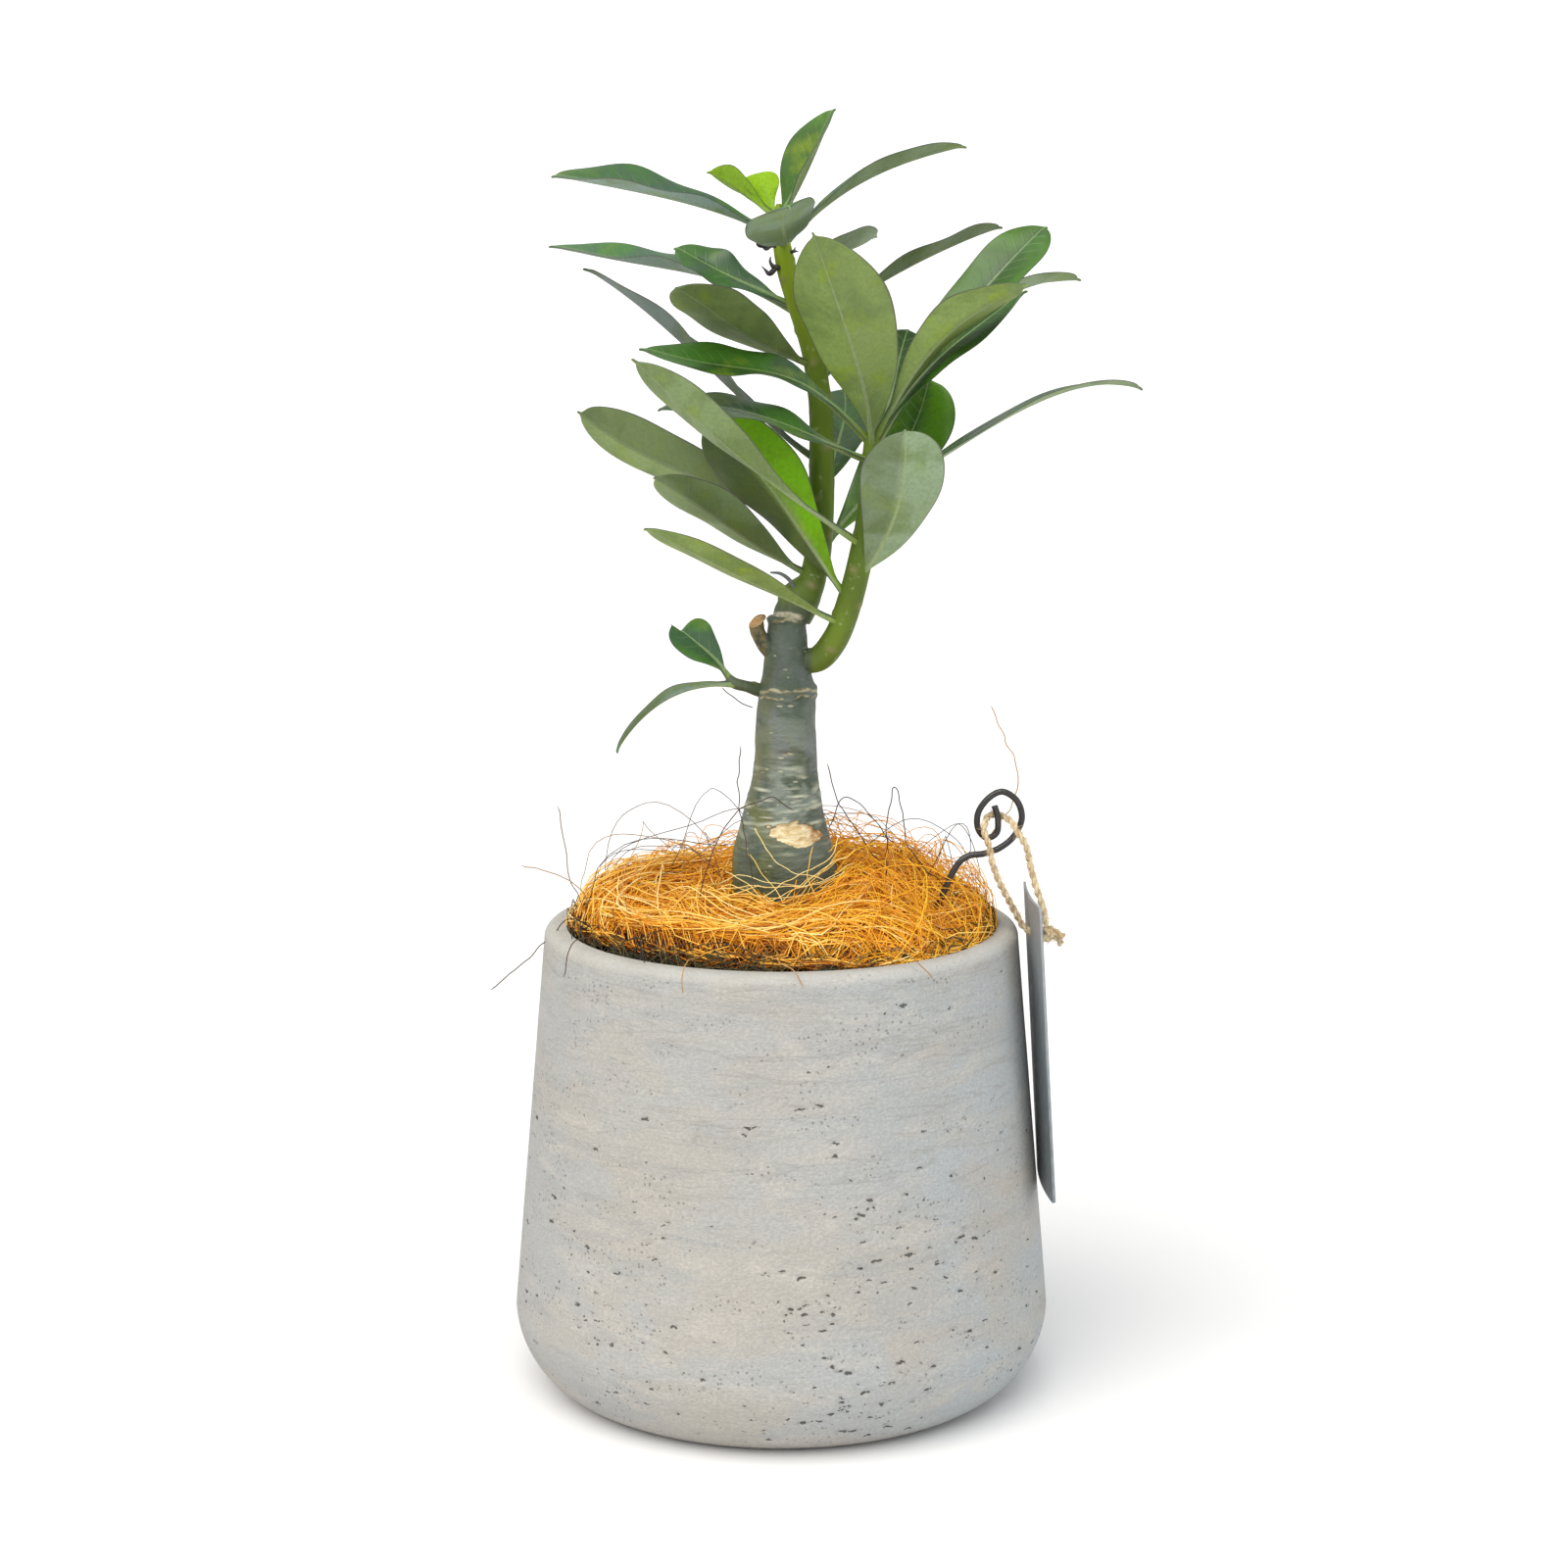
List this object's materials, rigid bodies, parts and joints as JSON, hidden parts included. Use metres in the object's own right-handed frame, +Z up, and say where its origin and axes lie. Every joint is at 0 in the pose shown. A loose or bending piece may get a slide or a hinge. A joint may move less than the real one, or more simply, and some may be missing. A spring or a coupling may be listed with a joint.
{
  "type": "potted desert rose plant",
  "caption": "Young desert rose with a swollen grey stem and leafy shoots in a round clay-fibre pot, with coir mulch, a wire pick and a hanging tag.",
  "frame": {"origin": "centre of the pot's flat foot, on the surface it stands on", "axes": "+Z up along the pot's axis, -Y towards the side the plant is looked at from, +X to that viewer's right, where the tag hangs"},
  "size_m": [0.1702, 0.145, 0.3405],
  "materials": {
    "clay_fibre": "matte, mottled, pitted",
    "soil": "matte, crumbly",
    "coir": "matte fibres",
    "bark": "satin, wrinkled",
    "leaf": "satin above, matte below",
    "young_leaf": "satin",
    "black_wire": "gloss black",
    "jute": "matte twisted twine",
    "card": "matte"
  },
  "bodies": {
    "root": {"pot": "clay_fibre", "soil": "soil", "coir_mulch": "coir", "trunk": "bark", "leader_shoot": "leaf", "leader_tip": "young_leaf", "side_branch": "leaf", "left_twig": "leaf", "wire_hook": "black_wire", "twine_loop": "jute", "tag": "card"}
  },
  "joints": []
}
